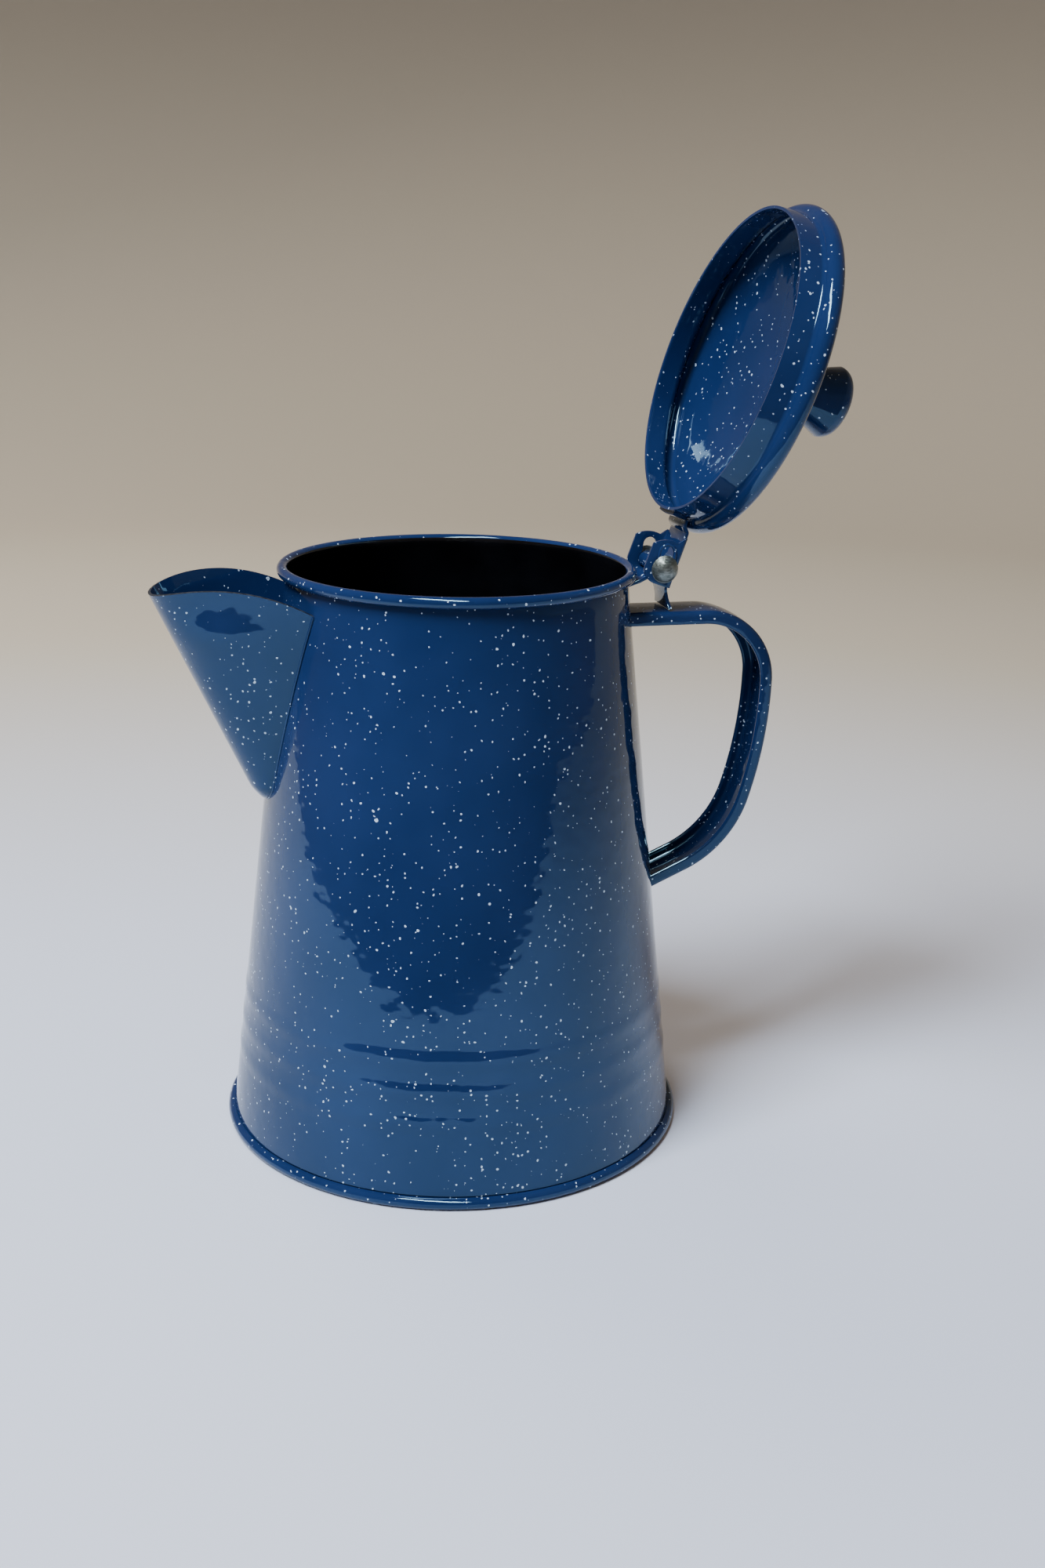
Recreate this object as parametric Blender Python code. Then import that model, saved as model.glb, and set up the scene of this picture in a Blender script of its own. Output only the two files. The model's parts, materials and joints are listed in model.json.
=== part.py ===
"""Enamelled steel coffee pot with a hinged lid, standing with its lid open against its stop.

Frame: +Z up, origin on the pot's axis at the surface it stands on, handle along +X, spout along -X.
Dimensions are in millimetres; new_mesh_object() turns them into metres.
The lid, its knob and its hinge leaf are modelled closed, then turned open by an empty on the pin.
"""

import math

import bmesh
import bpy

MM = 0.001
GAP = 0.3
SHEET = 1.0

# Wall: a straight cone with a rolled rim bead, three low ribs and a strainer behind the spout.
BASE_WALL_R = 77.7
TOP_WALL_R = 56.5
WALL_BOTTOM_Z = 4.3
RIM_BEAD_R = 1.85
RIM_CENTRE_R = 57.65
RIM_CENTRE_Z = 194.1
RIB_HEIGHTS = (28.0, 38.5, 49.0)
RIB_HALF_WIDTH = 4.4
RIB_DEPTH = 0.25
WALL_SEGMENTS = 52
HOLE_R = 2.4
HOLE_SIDES = 8
HOLE_ROWS = ((178.0, 5), (169.0, 4), (160.0, 3), (151.0, 2), (142.0, 1))
HOLE_SPACING = 8.0

# Base pan: a flat disc whose crimped bead and upstand grip the lower edge of the wall.
SEAM_BEAD_R = 2.0
SEAM_CENTRE_R = 78.1
UPSTAND_TOP_Z = 9.0

# Spout: a folded sheet that leans out from the wall, open along its arched lip.
SPOUT_BOTTOM_Z = 116.0
SPOUT_LEAN = 0.582
SPOUT_REACH = 7.35
SPOUT_REACH_Z = 126.0
SPOUT_HALF_WIDTH = 11.7
SPOUT_WIDTH_Z = 131.0
SPOUT_WIDENING = 0.266
SPOUT_TOE = 3.0
SPOUT_TOE_HEIGHT = 5.0
SPOUT_TOE_NARROWING = 4.5
SPOUT_FLANK_SLOPE = 0.0055
LIP_PEAK_X = -80.6
LIP_PEAK_Z = 192.4
LIP_FALL = 0.0091

# Handle: a C-section strap whose outer face follows this path from the wall, top to bottom.
STRAP_HALF_WIDTH = 9.5
STRAP_DEPTH = 5.0
STRAP_CORNER_R = 1.8
HANDLE_TOP_Z = 179.2
HANDLE_START_X = 46.0
HANDLE_FLAT_END_X = 85.4
HANDLE_BENDS = ((26.0, 90.0, 8), (148.0, 16.9, 4), (41.0, 49.1, 6))
HANDLE_TAIL = 26.0

# Hinge: pin, knuckle bracket on the pot, slotted leaf on the lid.
PIN_X = 69.0
PIN_Z = 193.8
PIN_R = 1.8
OPEN_ANGLE = 109.0
KNUCKLE_R = 3.3
KNUCKLE_HALF_WIDTH = 8.4
BRACKET_SHEET = 1.2
EAR_INNER_Y = 9.0
EAR_OUTER_Y = 10.0
EAR_SWEEP_R = 9.8
SLOT_R = 2.3
SLOT_LENGTH = 6.4
SLOT_START = 0.9
SLOT_SLANT = 10.0
HEAD_R = 4.65
HEAD_HEIGHT = 2.6

# Hinge leaf, closed, as (x, z) from the pin: the web over the pin, its foot on the collar, and the tail.
WEB_Z = 4.1
WEB_START_X = -12.0
WEB_END_X = 5.6
NECK_HALF_WIDTH = 8.0
FOOT_START_X = -18.8
FOOT_END_X = -16.6
FOOT_TOP_Z = 2.4
FOOT_BOTTOM_Z = -2.6
FOOT_HALF_WIDTH = 7.0
EAR_CORNER = (0.6, -1.9)
EAR_CORNER_R = 5.0
TAIL_START = (4.6, 3.1)
TAIL_END = (12.27, 7.92)
TAIL_WIDTHS = ((0.0, 9.4), (0.12, 9.2), (0.45, 6.2), (0.7, 6.0), (1.0, 8.0))

# Lid, closed: heights are above the collar's edge, radii from the lid's own axis.
LID_X = -1.5
COLLAR_EDGE_Z = 189.4
COLLAR_R = 51.9
FLANGE_CENTRE_R = 53.1
FLANGE_CENTRE_H = 11.3
FLANGE_R = 3.3
DOME_TOP_H = 27.0
LID_SEGMENTS = 44
KNOB_SEGMENTS = 24
KNOB_NECK_R = 7.0
KNOB_R = 12.3
KNOB_TOP_H = 48.2
KNOB_TOP_BEND = 4.6


def clear_scene():
    for obj in list(bpy.data.objects):
        bpy.data.objects.remove(obj, do_unlink=True)


def make_material(name, colour, metallic, roughness):
    material = bpy.data.materials.new(name)
    material.use_nodes = True
    shader = material.node_tree.nodes["Principled BSDF"]
    shader.inputs["Base Color"].default_value = (*colour, 1.0)
    shader.inputs["Metallic"].default_value = metallic
    shader.inputs["Roughness"].default_value = roughness
    return material


def new_mesh_object(name, vertices, faces, material=None, parent=None):
    """A closed mesh, given in millimetres in its parent's frame, with its faces turned outwards."""
    mesh = bpy.data.meshes.new(name)
    mesh.from_pydata([[MM * value for value in vertex] for vertex in vertices], [], faces)
    work = bmesh.new()
    work.from_mesh(mesh)
    bmesh.ops.recalc_face_normals(work, faces=work.faces)
    work.to_mesh(mesh)
    work.free()
    mesh.shade_smooth()
    mesh.set_sharp_from_angle(angle=math.radians(35))
    if material:
        mesh.materials.append(material)
    obj = bpy.data.objects.new(name, mesh)
    obj.parent = parent
    bpy.context.collection.objects.link(obj)
    return obj


def as_helper(obj):
    obj.hide_render = True
    obj.display_type = "WIRE"
    return obj


def add_boolean(obj, other, operation):
    modifier = obj.modifiers.new(f"{operation.lower()}_{other.name}", "BOOLEAN")
    modifier.object = as_helper(other)
    modifier.operation = operation
    modifier.solver = "EXACT"


def arc(centre_x, centre_z, radius, start, end, steps):
    """Points on an arc, its angles in degrees counter-clockwise from +X."""
    angles = [math.radians(start + (end - start) * i / steps) for i in range(steps + 1)]
    return [(centre_x + radius * math.cos(a), centre_z + radius * math.sin(a)) for a in angles]


def revolve(profile, segments):
    """Vertices and faces of a closed outline of (radius, height) points turned about Z."""
    vertices = []
    rings = []
    for radius, height in profile:
        count = 1 if radius == 0 else segments
        first = len(vertices)
        for i in range(count):
            angle = 2 * math.pi * i / segments
            vertices.append((radius * math.cos(angle), radius * math.sin(angle), height))
        rings.append([first + i % count for i in range(segments + 1)])
    faces = []
    for lower, upper in zip(rings, rings[1:] + rings[:1]):
        for i in range(segments):
            corners = dict.fromkeys((lower[i], lower[i + 1], upper[i + 1], upper[i]))
            if len(corners) > 2:
                faces.append(list(corners))
    return vertices, faces


def prism(outline, low_y, high_y):
    """Vertices and faces of an (x, z) outline extruded along Y."""
    count = len(outline)
    vertices = [(x, y, z) for y in (low_y, high_y) for x, z in outline]
    faces = [list(range(count)), list(range(count, 2 * count))]
    faces += [[i, (i + 1) % count, count + (i + 1) % count, count + i] for i in range(count)]
    return vertices, faces


def thicken(line, thickness):
    """The outline of a flat strip of constant thickness whose centreline is the given (x, z) line."""
    sides = []
    for i, (x, z) in enumerate(line):
        before = line[max(i - 1, 0)]
        after = line[min(i + 1, len(line) - 1)]
        length = math.dist(before, after)
        normal_x = (before[1] - after[1]) / length
        normal_z = (after[0] - before[0]) / length
        half = thickness / 2
        step_x = half * normal_x
        step_z = half * normal_z
        sides.append(((x + step_x, z + step_z), (x - step_x, z - step_z)))
    return [left for left, _ in sides] + [right for _, right in reversed(sides)]


def wall_radius(height):
    """Outer radius of the plain cone at a height."""
    span = RIM_CENTRE_Z - WALL_BOTTOM_Z
    return BASE_WALL_R + (TOP_WALL_R - BASE_WALL_R) * (height - WALL_BOTTOM_Z) / span


def ribbed_radius(height):
    """Outer radius with the ribs, each one a raised cosine."""
    radius = wall_radius(height)
    for centre in RIB_HEIGHTS:
        offset = abs(height - centre)
        if offset < RIB_HALF_WIDTH:
            radius += RIB_DEPTH * (1 + math.cos(math.pi * offset / RIB_HALF_WIDTH)) / 2
    return radius


def wall_heights():
    """Heights of the outline's points: the wall's foot, then each rib's edges, shoulders and crest."""
    heights = [WALL_BOTTOM_Z, 12.0]
    for centre in RIB_HEIGHTS:
        heights += [centre + step * RIB_HALF_WIDTH for step in (-1.0, -0.5, 0.0, 0.5, 1.0)]
    return heights + [90.0, 140.0]


def make_body_shell(material):
    outer = [(ribbed_radius(z), z) for z in wall_heights()]
    inner = [(radius - SHEET, z) for radius, z in reversed(outer)]
    bead = arc(RIM_CENTRE_R, RIM_CENTRE_Z, RIM_BEAD_R, -135, 175, 10)
    throat = [(wall_radius(RIM_CENTRE_Z) - SHEET, RIM_CENTRE_Z - 1.5)]
    shell = new_mesh_object("body_shell", *revolve(outer + bead + throat + inner, WALL_SEGMENTS), material)
    add_boolean(shell, make_strainer_cutter(), "DIFFERENCE")


def make_strainer_cutter():
    """Short rods through the wall behind the spout, in a triangle of rows that narrows downwards."""
    vertices = []
    faces = []
    for height, count in HOLE_ROWS:
        for i in range(count):
            centre_y = HOLE_SPACING * (i - (count - 1) / 2)
            reach = math.sqrt(wall_radius(height) ** 2 - centre_y**2)
            rim = arc(centre_y, height, HOLE_R, 0, 360, HOLE_SIDES)[:-1]
            first = len(vertices)
            second = first + HOLE_SIDES
            vertices += [(x, y, z) for x in (-reach - 3 * SHEET, -reach + 4 * SHEET) for y, z in rim]
            faces += [[start + k for k in range(HOLE_SIDES)] for start in (first, second)]
            for k in range(HOLE_SIDES):
                after = (k + 1) % HOLE_SIDES
                faces.append([first + k, first + after, second + after, second + k])
    return new_mesh_object("strainer_cutter", vertices, faces)


def make_base_pan(material):
    wall_inner = wall_radius(WALL_BOTTOM_Z) - SHEET - GAP
    bead = arc(SEAM_CENTRE_R, SEAM_BEAD_R, SEAM_BEAD_R, -90, 120, 8)
    slope = (BASE_WALL_R - TOP_WALL_R) / (RIM_CENTRE_Z - WALL_BOTTOM_Z)
    top_r = wall_inner - slope * (UPSTAND_TOP_Z - WALL_BOTTOM_Z)
    upstand = [(wall_inner, WALL_BOTTOM_Z - GAP), (top_r, UPSTAND_TOP_Z), (top_r - SHEET, UPSTAND_TOP_Z)]
    profile = [(0, 0), *bead, *upstand, (wall_inner - SHEET - 0.6, SHEET), (0, SHEET)]
    new_mesh_object("base_pan", *revolve(profile, WALL_SEGMENTS), material)


def make_pot_cutter():
    """The pot's filled outside, larger by the gap, which trims whatever is welded to the wall."""
    wall = [(wall_radius(z) + GAP, z) for z in (60.0, RIM_CENTRE_Z - 2.5)]
    bead = arc(RIM_CENTRE_R, RIM_CENTRE_Z, RIM_BEAD_R + GAP, -120, 90, 8)
    profile = [(0, 60.0), *wall, *bead, (0, RIM_CENTRE_Z + RIM_BEAD_R + GAP)]
    return as_helper(new_mesh_object("pot_cutter", *revolve(profile, 96)))


def spout_section(height):
    """Control points of the half section at a height, from the nose to the weld, as (x, y)."""
    reach = SPOUT_REACH + SPOUT_LEAN * (height - SPOUT_REACH_Z)
    reach -= SPOUT_TOE * math.exp((SPOUT_BOTTOM_Z - height) / SPOUT_TOE_HEIGHT)
    half = SPOUT_HALF_WIDTH + SPOUT_WIDENING * (height - SPOUT_WIDTH_Z)
    half -= SPOUT_TOE_NARROWING * math.exp((SPOUT_BOTTOM_Z + 1 - height) / 3)
    radius = wall_radius(height)
    nose_x = -radius - reach
    weld_x = -math.sqrt(radius**2 - half**2)
    length = weld_x - nose_x
    side = (weld_x - 0.65 * length, half - 0.5 * SPOUT_FLANK_SLOPE * length**2)
    return (nose_x, 0), (nose_x, 0.55 * half), side, (weld_x, half)


def spout_point(along, height):
    """A point of the spout's outer face: along is -1 to 1 between the welds, and a little past them."""
    nose, bulge, side, weld = spout_section(height)
    t = min(abs(along), 1)
    weights = ((1 - t) ** 3, 3 * t * (1 - t) ** 2, 3 * t**2 * (1 - t), t**3)
    x = sum(w * p[0] for w, p in zip(weights, (nose, bulge, side, weld)))
    y = sum(w * p[1] for w, p in zip(weights, (nose, bulge, side, weld)))
    if abs(along) > 1:
        x += 3.0
        y += 0.5
    return x, math.copysign(y, along)


def lip_height(x):
    return LIP_PEAK_Z - LIP_FALL * (x - LIP_PEAK_X) ** 2


def make_spout_shell(material, pot_cutter):
    columns = [-1.2, *(i / 9 for i in range(-9, 10)), 1.2]
    rows = 10
    vertices = []
    for along in columns:
        top = LIP_PEAK_Z
        for _ in range(6):
            top = lip_height(spout_point(along, top)[0])
        for row in range(rows + 1):
            height = SPOUT_BOTTOM_Z + (top - SPOUT_BOTTOM_Z) * (row / rows) ** 1.3
            vertices.append((*spout_point(along, height), height))
    faces = []
    for column in range(len(columns) - 1):
        for row in range(rows):
            first = column * (rows + 1) + row
            faces.append([first, first + rows + 1, first + rows + 2, first + 1])
    spout = new_mesh_object("spout_shell", vertices, faces, material)
    sheet = spout.modifiers.new("sheet", "SOLIDIFY")
    sheet.thickness = SHEET * MM
    sheet.offset = -1
    add_boolean(spout, pot_cutter, "DIFFERENCE")


def handle_path():
    """Points of the strap's outer face with their headings in degrees, 0 along +X and turning downwards."""
    x, z, heading = HANDLE_START_X, HANDLE_TOP_Z, 0.0
    path = [(x, z, heading), (HANDLE_FLAT_END_X, z, heading)]
    x = HANDLE_FLAT_END_X
    for radius, turn, steps in HANDLE_BENDS:
        for _ in range(steps):
            half_turn = math.radians(turn / steps / 2)
            chord = 2 * radius * math.sin(half_turn)
            direction = math.radians(heading) + half_turn
            x += chord * math.cos(direction)
            z -= chord * math.sin(direction)
            heading += turn / steps
            path.append((x, z, heading))
    direction = math.radians(heading)
    path.append((x + HANDLE_TAIL * math.cos(direction), z - HANDLE_TAIL * math.sin(direction), heading))
    return path


def strap_section():
    """The C section as (y, depth below the outer face)."""
    corner = arc(STRAP_HALF_WIDTH - STRAP_CORNER_R, STRAP_CORNER_R, STRAP_CORNER_R, 0, -90, 3)
    inside = STRAP_HALF_WIDTH - SHEET
    half = [(STRAP_HALF_WIDTH, STRAP_DEPTH), *corner]
    inner_half = [(inside, STRAP_DEPTH), (inside, STRAP_CORNER_R), (inside - 0.6, SHEET)]
    return half + [(-y, d) for y, d in reversed(half)] + [(-y, d) for y, d in inner_half] + inner_half[::-1]


def make_handle_strap(material, pot_cutter):
    section = strap_section()
    count = len(section)
    vertices = []
    path = handle_path()
    for x, z, heading in path:
        sine = math.sin(math.radians(heading))
        cosine = math.cos(math.radians(heading))
        vertices += [(x - depth * sine, y, z - depth * cosine) for y, depth in section]
    faces = [list(range(count)), list(range(len(vertices) - count, len(vertices)))]
    for station in range(len(path) - 1):
        first = station * count
        for i in range(count):
            j = (i + 1) % count
            faces.append([first + i, first + j, first + count + j, first + count + i])
    strap = new_mesh_object("handle_strap", vertices, faces, material)
    add_boolean(strap, pot_cutter, "DIFFERENCE")


def make_hinge_bracket(material, pot_cutter):
    """A strip welded under the rim, then curled round the pin."""
    curl_r = KNUCKLE_R - BRACKET_SHEET / 2
    curl = arc(PIN_X, PIN_Z, curl_r, -100, 205, 14)
    tongue = [(PIN_X - 14, PIN_Z - 6.2), (PIN_X - 4.5, curl[0][1] + 0.1)]
    outline = thicken(tongue + curl, BRACKET_SHEET)
    strip = prism(outline, -KNUCKLE_HALF_WIDTH, KNUCKLE_HALF_WIDTH)
    bracket = new_mesh_object("hinge_bracket", *strip, material)
    add_boolean(bracket, pot_cutter, "DIFFERENCE")


def make_hinge_rivet(material):
    """The pin with a domed head outside each ear, turned about Z and laid along Y."""
    inner = EAR_OUTER_Y + GAP
    dome_r = (HEAD_R**2 + HEAD_HEIGHT**2) / (2 * HEAD_HEIGHT)
    edge = math.degrees(math.asin(HEAD_R / dome_r))
    dome = arc(0, inner + HEAD_HEIGHT - dome_r, dome_r, 90 - edge, 90, 4)
    top = [(PIN_R, inner), (HEAD_R, inner), *dome[:-1], (0, inner + HEAD_HEIGHT)]
    bottom = [(radius, -height) for radius, height in reversed(top)]
    vertices, faces = revolve(bottom + top, 24)
    rivet = new_mesh_object("hinge_rivet", vertices, faces, material)
    rivet.location = (PIN_X * MM, 0, PIN_Z * MM)
    rivet.rotation_euler = (math.radians(90), 0, 0)


def lid_outline():
    """The lid's outer face, from the collar's edge to the top of the dome."""
    collar = [(COLLAR_R, 0), (COLLAR_R + 0.3, 3), (COLLAR_R + 0.6, 5.5), (COLLAR_R + 0.9, 7.2)]
    flange = arc(FLANGE_CENTRE_R, FLANGE_CENTRE_H, FLANGE_R, -75, 80, 8)
    shoulder_h = FLANGE_CENTRE_H + FLANGE_R
    dome = []
    for step in (0.93, 0.75, 0.5, 0.25, 0):
        dome.append((FLANGE_CENTRE_R * step, shoulder_h + (DOME_TOP_H - shoulder_h) * (1 - step**2)))
    return collar + flange + dome


def offset_outline(outline, distance):
    """The same open outline moved to its left by a distance."""
    moved = []
    for i, (r, h) in enumerate(outline):
        before = outline[max(i - 1, 0)]
        after = outline[min(i + 1, len(outline) - 1)]
        length = math.dist(before, after)
        shift_r = distance * (before[1] - after[1]) / length
        shift_h = distance * (after[0] - before[0]) / length
        moved.append((max(r + shift_r, 0) if r else 0, h + shift_h))
    return moved


def from_pin(profile, segments=LID_SEGMENTS):
    """A turned lid profile's mesh, moved from the lid's axis and collar edge to the pin's frame."""
    vertices, faces = revolve(profile, segments)
    shift_x = LID_X - PIN_X
    shift_z = COLLAR_EDGE_Z - PIN_Z
    return [(x + shift_x, y, z + shift_z) for x, y, z in vertices], faces


def make_lid_shell(material, pivot):
    outer = lid_outline()
    inner = offset_outline(outer, SHEET)
    inner[0] = (COLLAR_R - SHEET, 0)
    new_mesh_object("lid_shell", *from_pin(outer + inner[::-1]), material, pivot)


def make_lid_knob(material, pivot):
    """A hollow knob: neck on the dome, flared side and a nearly flat top."""
    foot_h = DOME_TOP_H + GAP
    side = [(KNOB_NECK_R, foot_h), (KNOB_NECK_R + 0.3, foot_h + 3), (KNOB_R - 1.6, foot_h + 8.5)]
    top = arc(KNOB_R - KNOB_TOP_BEND, KNOB_TOP_H - KNOB_TOP_BEND - 0.8, KNOB_TOP_BEND, -10, 85, 6)
    outer = [*side, *top, (0, KNOB_TOP_H)]
    inner = offset_outline(outer, SHEET)
    inner[0] = (KNOB_NECK_R - SHEET, foot_h)
    new_mesh_object("lid_knob", *from_pin(outer + inner[::-1], KNOB_SEGMENTS), material, pivot)


def slot_outline():
    """The ear's slot: it starts just past the pin and slants down towards the lid."""
    slant = math.radians(SLOT_SLANT)
    start = (SLOT_START * math.cos(slant), SLOT_START * math.sin(slant))
    end = (start[0] - SLOT_LENGTH * math.cos(slant), start[1] - SLOT_LENGTH * math.sin(slant))
    near = arc(*start, SLOT_R, SLOT_SLANT - 90, SLOT_SLANT + 90, 6)
    return near + arc(*end, SLOT_R, SLOT_SLANT + 90, SLOT_SLANT + 270, 6)


def make_lid_hinge_leaf(material, pivot):
    """One bent plate: a foot on the collar, a web over the pin, two slotted ears and the tail tab.

    The ears' lower corners follow an arc about the pin, so they swing clear of the rim bead.
    """
    web_line = [(FOOT_START_X - 0.2, FOOT_TOP_Z), (-15.4, FOOT_TOP_Z), (-13.7, WEB_Z)]
    web_line.append((WEB_END_X - 0.4, WEB_Z))
    neck = prism(thicken(web_line, SHEET), -NECK_HALF_WIDTH, NECK_HALF_WIDTH)
    leaf = new_mesh_object("lid_hinge_leaf", *neck, material, pivot)
    top_z = WEB_Z + SHEET / 2
    low_z = WEB_Z - SHEET / 2
    ear = [(WEB_END_X, top_z), (WEB_START_X, top_z), *arc(0, 0, EAR_SWEEP_R, 170, 224, 5)]
    ear += arc(*EAR_CORNER, EAR_CORNER_R, 270, 360, 5)
    for side in (-1, 1):
        edges = sorted((side * EAR_INNER_Y, side * EAR_OUTER_Y))
        add_boolean(leaf, new_mesh_object("ear_helper", *prism(ear, *edges), parent=pivot), "UNION")
    bridge = [(WEB_END_X, low_z), (WEB_END_X, top_z), (WEB_START_X, top_z), (WEB_START_X, low_z)]
    plate = prism(bridge, -EAR_INNER_Y - SHEET / 2, EAR_INNER_Y + SHEET / 2)
    add_boolean(leaf, new_mesh_object("web_helper", *plate, parent=pivot), "UNION")
    foot = [(x, FOOT_TOP_Z + 0.4) for x in (FOOT_START_X, FOOT_END_X)]
    foot += [(x, FOOT_BOTTOM_Z) for x in (FOOT_END_X, FOOT_START_X)]
    foot = prism(foot, -FOOT_HALF_WIDTH, FOOT_HALF_WIDTH)
    add_boolean(leaf, new_mesh_object("foot_helper", *foot, parent=pivot), "UNION")
    add_boolean(leaf, make_tail_helper(pivot), "UNION")
    slots = prism(slot_outline(), -EAR_OUTER_Y - 2, EAR_OUTER_Y + 2)
    add_boolean(leaf, new_mesh_object("slot_cutter", *slots, parent=pivot), "DIFFERENCE")
    seat = [(0, -2), *((r + GAP, h) for r, h in [(COLLAR_R, -2), *lid_outline()[:4]])]
    seat += [*arc(FLANGE_CENTRE_R, FLANGE_CENTRE_H, FLANGE_R + GAP, -75, 20, 6), (0, FLANGE_CENTRE_H + 1)]
    add_boolean(leaf, new_mesh_object("seat_cutter", *from_pin(seat), parent=pivot), "DIFFERENCE")


def make_tail_helper(pivot):
    """The tab that stops the open lid on the handle: waisted, and flared again at its end."""
    direction = (TAIL_END[0] - TAIL_START[0], TAIL_END[1] - TAIL_START[1])
    length = math.hypot(*direction)
    normal = (-direction[1] / length * SHEET / 2, direction[0] / length * SHEET / 2)
    vertices = []
    for step, half_width in TAIL_WIDTHS:
        x = TAIL_START[0] + step * direction[0]
        z = TAIL_START[1] + step * direction[1]
        for sign, y in ((1, half_width), (1, -half_width), (-1, -half_width), (-1, half_width)):
            vertices.append((x + sign * normal[0], y, z + sign * normal[1]))
    faces = [[0, 1, 2, 3], [len(vertices) - 4 + i for i in range(4)]]
    for first in range(0, len(vertices) - 4, 4):
        faces += [[first + i, first + (i + 1) % 4, first + 4 + (i + 1) % 4, first + 4 + i] for i in range(4)]
    return new_mesh_object("tail_helper", vertices, faces, parent=pivot)


def make_pivot():
    """The empty on the hinge pin that holds the lid open."""
    pivot = bpy.data.objects.new("lid_pivot", None)
    pivot.location = (PIN_X * MM, 0, PIN_Z * MM)
    pivot.rotation_euler = (0, math.radians(OPEN_ANGLE), 0)
    bpy.context.collection.objects.link(pivot)
    return pivot


def main():
    clear_scene()
    enamel = make_material("blue_enamel", (0.012, 0.055, 0.16), 0.0, 0.12)
    rivet_metal = make_material("rivet_aluminium", (0.42, 0.44, 0.41), 1.0, 0.4)
    pot_cutter = make_pot_cutter()
    make_body_shell(enamel)
    make_base_pan(enamel)
    make_spout_shell(enamel, pot_cutter)
    make_handle_strap(enamel, pot_cutter)
    make_hinge_bracket(enamel, pot_cutter)
    make_hinge_rivet(rivet_metal)
    pivot = make_pivot()
    make_lid_shell(enamel, pivot)
    make_lid_knob(enamel, pivot)
    make_lid_hinge_leaf(enamel, pivot)


main()
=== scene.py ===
"""Looks of the enamelled coffee pot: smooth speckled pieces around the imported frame, and their stage.

Sizes are in millimetres unless a name ends in _M; new_piece() turns them into metres.
The lid's pieces are modelled closed, about the hinge pin, and placed open by LID_PLACE.
"""

import json
import math

import bmesh
import bpy
from mathutils import Matrix, Vector


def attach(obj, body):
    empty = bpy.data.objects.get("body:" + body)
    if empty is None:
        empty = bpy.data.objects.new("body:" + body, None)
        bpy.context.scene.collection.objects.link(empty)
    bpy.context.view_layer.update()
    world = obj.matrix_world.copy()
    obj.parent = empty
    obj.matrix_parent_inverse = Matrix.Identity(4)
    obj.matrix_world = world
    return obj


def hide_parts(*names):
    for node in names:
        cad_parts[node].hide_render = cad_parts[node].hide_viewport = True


MM = 0.001
GAP = 0.3
SHEET = 1.0
ROUND_SEGMENTS = 288
MERGE_M = 2e-6

# Wall
BASE_WALL_R = 77.7
TOP_WALL_R = 56.5
WALL_BOTTOM_Z = 4.3
RIM_BEAD_R = 1.85
RIM_CENTRE_R = 57.65
RIM_CENTRE_Z = 194.1
RIB_HEIGHTS = (28.0, 38.5, 49.0)
RIB_HALF_WIDTH = 4.4
RIB_DEPTH = 0.25
HOLE_R = 2.4
HOLE_ROWS = ((178.0, 5), (169.0, 4), (160.0, 3), (151.0, 2), (142.0, 1))
HOLE_SPACING = 8.0

# Base pan
SEAM_BEAD_R = 2.0
SEAM_CENTRE_R = 78.1
UPSTAND_TOP_Z = 9.0

# Spout
SPOUT_BOTTOM_Z = 118.3
SPOUT_TOE_Z = 6.0
SPOUT_LEAN = 0.582
SPOUT_REACH = 7.35
SPOUT_REACH_Z = 126.0
SPOUT_HALF_WIDTH = 11.7
SPOUT_WIDTH_Z = 131.0
SPOUT_WIDENING = 0.266
LIP_PEAK_X = -80.6
LIP_PEAK_Z = 192.4
LIP_FALL = 0.0091
# Shallow swellings of the spout's sides: (centre x, spread along x, centre z, spread along z, height).
SPOUT_SWELLINGS = ((-87.0, 11.0, 177.0, 5.2, 1.25), (-88.0, 16.0, 194.0, 5.0, 0.6))
WELD_BEAD_R = 0.42
WELD_LENGTH = 66.0

# Handle
STRAP_HALF_WIDTH = 9.5
STRAP_DEPTH = 5.0
STRAP_CORNER_R = 1.8
HEM_R = 0.85
HANDLE_TOP_Z = 179.2
HANDLE_START_X = 46.0
HANDLE_FLAT_END_X = 85.4
HANDLE_BENDS = ((26.0, 90.0, 30), (148.0, 16.9, 12), (41.0, 49.1, 22))
HANDLE_TAIL = 26.0

# Hinge
OPEN_ANGLE = 109.0
PIN_R = 1.8
KNUCKLE_R = 3.3
KNUCKLE_HALF_WIDTH = 8.4
BRACKET_SHEET = 1.2
EAR_INNER_Y = 9.0
EAR_OUTER_Y = 10.0
EAR_SWEEP_R = 9.8
SLOT_R = 2.3
SLOT_LENGTH = 6.4
SLOT_START = 0.9
SLOT_SLANT = 10.0
WEB_Z = 4.1
WEB_START_X = -12.0
WEB_END_X = 5.6
EAR_CORNER = (0.6, -1.9)
EAR_CORNER_R = 5.0
NECK_HALF_WIDTH = 8.0
FOOT_HALF_WIDTH = 7.2
HEAD_R = 4.65
HEAD_HEIGHT = 2.6

# Lid
LID_X = -1.5
COLLAR_EDGE_Z = 189.4
COLLAR_R = 51.9
FLANGE_CENTRE_R = 53.1
FLANGE_CENTRE_H = 11.3
FLANGE_R = 3.3
DOME_TOP_H = 27.0
KNOB_NECK_R = 7.0
KNOB_R = 12.3
KNOB_TOP_H = 48.2

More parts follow.
